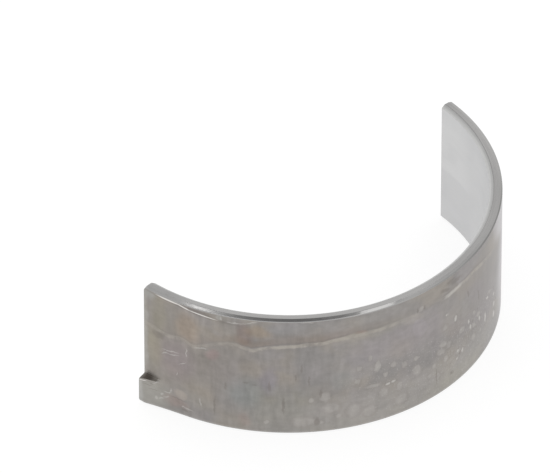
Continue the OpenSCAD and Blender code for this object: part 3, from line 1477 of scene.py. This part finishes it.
    def rim(self, band: Band, tang_share: float) -> np.ndarray:
        """One rim of the section, from the middle of the back's bevel to that of the bore's.

        Args:
            band: top or bottom.
            tang_share: 1 for the rim that carries the tang.

        Returns:
            An array of the same six columns as a side.
        """
        back, bore = self.edge_of_back()[1], self.edge_of_bore()[1]
        flat = np.linspace(back[-1, 0], bore[-1, 0], RIM_COLUMNS + 2)[1:-1]
        level = np.column_stack([flat, np.zeros(RIM_COLUMNS)])
        depth, down = np.concatenate([back, level, bore[::-1]]).T
        return self.run(band, down, down, tang_share, depth, 0.0)

    @staticmethod
    def run(band: Band, *columns: Union[np.ndarray, float]) -> np.ndarray:
        """Stacks one run of section points into six columns, the first of them its band."""
        return np.column_stack(np.broadcast_arrays(band.value, *columns))

    def strip_places(self, along: np.ndarray, loop: np.ndarray) -> tuple[np.ndarray, np.ndarray]:
        """Places of all points on the strip: every section point at every station.

        Heights below and above the flank are spread evenly up to the flank's line, which rises
        with depth and falls with the lift by the flank's slope. Away from the parting face the
        flank widens from a sheared step to a soft draw. At both ends the section draws in by a
        small round on the outside and a chamfer on the bore side. A larger round takes the upper
        corner at the tang's end, and another the lower corner of the tang's tip.

        Args:
            along: the stations.
            loop: the section's points, six columns.

        Returns:
            Along, height and depth of each point, and the outward move of each point.
        """
        band, place, soft, share, depth, inset = (column[None, :] for column in loop.T)
        along = along[:, None]
        from_end = np.minimum(along, self.length - along)
        outer = quarter_round(self.parting_round, from_end)
        inner = np.maximum(self.parting_chamfer - from_end, 0)
        depth = outer + depth * (self.wall - outer - inner) / self.wall
        lift = self.lift(along, depth)
        widened = smooth_step(along, self.shear_end, self.draw_end)
        half = self.flank_round + (self.flank_draw - self.flank_round) * widened
        flank = self.tang_width + self.flank_slope * (depth - lift * share)
        low_end = flank - half
        high_end = flank + half
        heights = [
            place + 0 * lift,
            inset + place * (low_end - inset),
            flank + half * (place + (soft - place) * widened),
            high_end + place * (self.width - inset - high_end),
            self.width - place + 0 * lift,
        ]
        height = np.choose(np.broadcast_to(band.astype(int), lift.shape), heights)
        upper = np.maximum(outer, quarter_round(self.end_round, along))
        height = outer + height * (self.width - outer - upper) / self.width
        strip = np.stack(np.broadcast_arrays(along, height, depth), axis=-1)
        corner = quarter_round(self.tip_round, height) * (1 - smooth_step(along, 0.0, self.tip_end))
        return strip, lift * share - corner * (share > 0)

    def rolled(self, strip: np.ndarray, lift: np.ndarray) -> np.ndarray:
        """Rolls the strip up: its angle is along over the back's radius, from the tang's end.

        Args:
            strip: along, height and depth.
            lift: outward move of each point.

        Returns:
            Points in the part's frame.
        """
        angle = strip[..., 0] / self.back_r + self.end_angle
        radius = self.back_r - strip[..., 2] + lift
        turned = np.stack([-np.cos(angle), -np.sin(angle)], axis=-1)
        return np.concatenate([turned * radius[..., None], strip[..., 1:2]], axis=-1)

    def surface(self) -> GridMesh:
        """Works out the whole closed surface: the section at every station, and both ends.

        Returns:
            The shell as arrays.
        """
        back, bore = self.side(self.edge_of_back()[0]), self.side(self.edge_of_bore()[0])
        low, high = self.rim(Band.BOTTOM, 1.0), self.rim(Band.TOP, 0.0)
        rows, columns = len(back), len(low)
        loop = np.concatenate([back, high[1:], bore[-2::-1], low[-2:0:-1]])
        along = self.stations()
        strip, lift = self.strip_places(along, loop)
        points = self.rolled(strip, lift).reshape(-1, 3)
        index = np.arange(len(points)).reshape(len(along), len(loop))
        after = np.roll(index, -1, axis=1)
        walls = np.stack([index[:-1], index[1:], after[1:], after[:-1]], axis=-1).reshape(-1, 4)
        zones = self.zones(along, rows, columns).ravel()
        made = GridMesh(points, strip.reshape(-1, 3), walls, zones)
        for ring, flipped in ((index[0], False), (index[-1], True)):
            made = made.capped(self.border(ring, rows, columns), flipped)
        return made

    @staticmethod
    def border(ring: np.ndarray, rows: int, columns: int) -> Border:
        """Parts the points of one end into the four runs of its outline.

        Args:
            ring: indices round the section, from the foot of the back.
            rows: points up a side.
            columns: points across a rim.

        Returns:
            Indices up the back, up the bore, across the low rim and across the high one.
        """
        closed = np.append(ring, ring[0])
        top = rows - 1
        far = top + columns - 1
        foot = far + rows - 1
        up_back, up_bore = closed[: top + 1], closed[far : foot + 1][::-1]
        return up_back, up_bore, closed[foot:][::-1], closed[top : far + 1]

    def zones(self, along: np.ndarray, rows: int, columns: int) -> np.ndarray:
        """Zone of every wall face.

        Args:
            along: the stations.
            rows: points up a side.
            columns: points across a rim.

        Returns:
            Zone values, stations by section segments.
        """
        back = np.full(rows - 1, Zone.TANG_END.value)
        bore = np.full(rows - 1, Zone.LINING.value)
        for side, bevel in ((back, Zone.EDGE), (bore, Zone.CHAMFER)):
            side[:BEVEL_ROWS] = bevel.value
            side[-BEVEL_ROWS:] = bevel.value
        rim = np.full(columns - 1, Zone.EDGE.value)
        rim[-BEVEL_ROWS:] = Zone.CHAMFER.value
        ring = np.concatenate([back, rim, bore[::-1], rim[::-1]])
        zones = np.repeat(ring[None], len(along) - 1, axis=0)
        stretch = np.digitize(along[:-1] / MM, STRETCHES[1:-1])
        zones = np.where(zones == Zone.TANG_END.value, stretch[:, None], zones)
        flank = BEVEL_ROWS + LOWER_ROWS
        step = slice(flank + CREST_ROWS, flank + FLANK_ROWS - 1)
        zones[along[:-1] < self.shear_end, step] = Zone.SHEAR.value
        return zones

    def build(self) -> bpy.types.Object:
        """Makes the shell's object with its finishes.

        Returns:
            The object.
        """
        surface = self.surface()
        LOG.info("shell: %d faces, %.1f cubic mm", len(surface.faces), surface.volume() / MM**3)
        made = surface.to_object("shell_lined_steel", self.sharp_deg)
        for zone in Zone:
            made.data.materials.append(FINISHES[zone].material())
        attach(made, BODY)
        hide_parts(NODE)
        return made


@dataclass
class Studio:
    """Floor, light and camera round the shell.

    Lengths are in metres, angles in degrees. high_rise and right_reach are spans of a sky
    direction's part upwards and to the view's right, and overhead_edge is one of angles from
    the middle of the dark patch overhead.
    """

    camera_azimuth: float = -43.7197
    camera_elevation: float = 39.0499
    camera_distance: float = 1.713923
    look_at: tuple[float, float, float] = (-0.000568, 0.00216, 0.00995)
    lens_mm: float = 814.80
    sensor_mm: float = 36.0
    clip: Span = (0.1, 100.0)
    floor_half: float = 6.0
    floor_colour: Colour = (0.93, 0.93, 0.93)
    floor_glow: float = 0.75
    glow_colour: Colour = (1.0, 1.0, 1.0)
    glow_level: float = 1.09
    low_sky: Colour = (1.08, 1.08, 1.08)
    high_sky: Colour = (0.7, 0.7, 0.7)
    high_rise: Span = (0.66, 0.8)
    right_sky: Colour = (1.0, 1.0, 1.0)
    right_reach: Span = (0.30, 0.35)
    overhead: Colour = (0.3, 0.3, 0.3)
    overhead_elevation: float = 97.0
    overhead_edge: Span = (13.5, 6.5)
    strip_length: float = 0.8
    strip_distance: float = 0.8
    strip_tilt: float = 0.15
    left_offset: float = -0.305
    left_width: float = 0.056
    left_level: float = 1.6
    right_offset: float = 0.292
    right_width: float = 0.082
    right_level: float = 0.95

    def camera(self) -> None:
        """Sets the camera at the fitted place."""
        data = bpy.data.cameras.new("camera")
        data.lens = self.lens_mm
        data.sensor_width = self.sensor_mm
        data.clip_start, data.clip_end = self.clip
        made = bpy.data.objects.new("camera", data)
        back = bearing(self.camera_azimuth, self.camera_elevation)
        made.location = Vector(self.look_at) + back * self.camera_distance
        made.rotation_mode = "QUATERNION"
        made.rotation_quaternion = (-back).to_track_quat("-Z", "Y")
        bpy.context.scene.collection.objects.link(made)
        bpy.context.scene.camera = made

    def floor(self) -> None:
        """Makes the plain white floor."""
        reach = np.array([-self.floor_half, self.floor_half])
        across, away = np.meshgrid(reach, reach)
        points = np.stack([across.ravel(), away.ravel(), np.zeros(4)], axis=-1)
        flat = GridMesh(points, np.zeros((4, 3)), np.array([[0, 1, 3, 2]]), np.zeros(1))
        made = flat.to_object("floor")
        material = bpy.data.materials.new("floor_white")
        tree = ShaderTree(material)
        path = tree.node("ShaderNodeLightPath")
        seen = Value(tree, path.outputs["Is Camera Ray"])
        seen = seen.most(path.outputs["Is Glossy Ray"]).most(path.outputs["Is Transmission Ray"])
        matt = tree.node("ShaderNodeBsdfDiffuse", {}, {"Color": self.floor_colour})
        sockets = {"Color": self.glow_colour, "Strength": self.glow_level}
        glow = tree.node("ShaderNodeEmission", {}, sockets)
        sockets = {0: seen * self.floor_glow, 1: matt.outputs[0], 2: glow.outputs[0]}
        mixed = tree.node("ShaderNodeMixShader", {}, sockets)
        tree.node("ShaderNodeOutputMaterial", {}, {"Surface": mixed.outputs[0]})
        made.data.materials.append(material)

    def surroundings(self) -> None:
        """Lights the world evenly, darker high up, less so on the right, and darkest overhead."""
        world = bpy.data.worlds.new("studio")
        bpy.context.scene.world = world
        tree = ShaderTree(world)
        way = tree.node("ShaderNodeTexCoord").outputs["Generated"]
        rise = tree.agreement(way, Vector((0, 0, 1))).eased(*self.high_rise)
        right = tree.agreement(way, bearing(self.camera_azimuth + 90.0, 0.0))
        above = tree.agreement(way, bearing(self.camera_azimuth, self.overhead_elevation))
        edge = (math.cos(math.radians(angle)) for angle in self.overhead_edge)
        sky = tree.mix(rise, self.low_sky, self.high_sky)
        sky = tree.mix(right.eased(*self.right_reach) * rise, sky, self.right_sky)
        sky = tree.mix(above.eased(*edge), sky, self.overhead)
        glow = tree.node("ShaderNodeBackground", {}, {"Color": sky, "Strength": 1.0})
        tree.node("ShaderNodeOutputWorld", {}, {"Surface": glow.outputs[0]})

    def strip_lights(self) -> None:
        """Hangs two long soft boxes overhead, left and right, in line with the view."""
        ahead = bearing(self.camera_azimuth, 0.0)
        across = bearing(self.camera_azimuth + 90.0, 0.0)
        strips = (
            ("strip_left", self.left_offset, self.left_width, self.left_level),
            ("strip_right", self.right_offset, self.right_width, self.right_level),
        )
        for name, offset, width, level in strips:
            data = bpy.data.lights.new(name, "AREA")
            data.shape = "RECTANGLE"
            data.size = width
            data.size_y = self.strip_length
            data.energy = level * math.pi * width * self.strip_length
            made = bpy.data.objects.new(name, data)
            back = (across * offset - ahead * self.strip_tilt + Vector((0, 0, 1))).normalized()
            side = ahead.cross(back).normalized()
            made.matrix_world = Matrix((side, back.cross(side), back)).transposed().to_4x4()
            made.location = back * self.strip_distance
            bpy.context.scene.collection.objects.link(made)


def main() -> None:
    """Builds the studio and the shell."""
    logging.basicConfig(level=logging.INFO)
    bpy.context.scene.view_settings.view_transform = "Standard"
    studio = Studio()
    studio.camera()
    studio.surroundings()
    studio.strip_lights()
    studio.floor()
    shell = BearingShell.from_frame(frame["record"])
    made = shell.build()
    LOG.info("%s stands for %s", made.name, NODE)


if __name__ == "__main__":
    main()
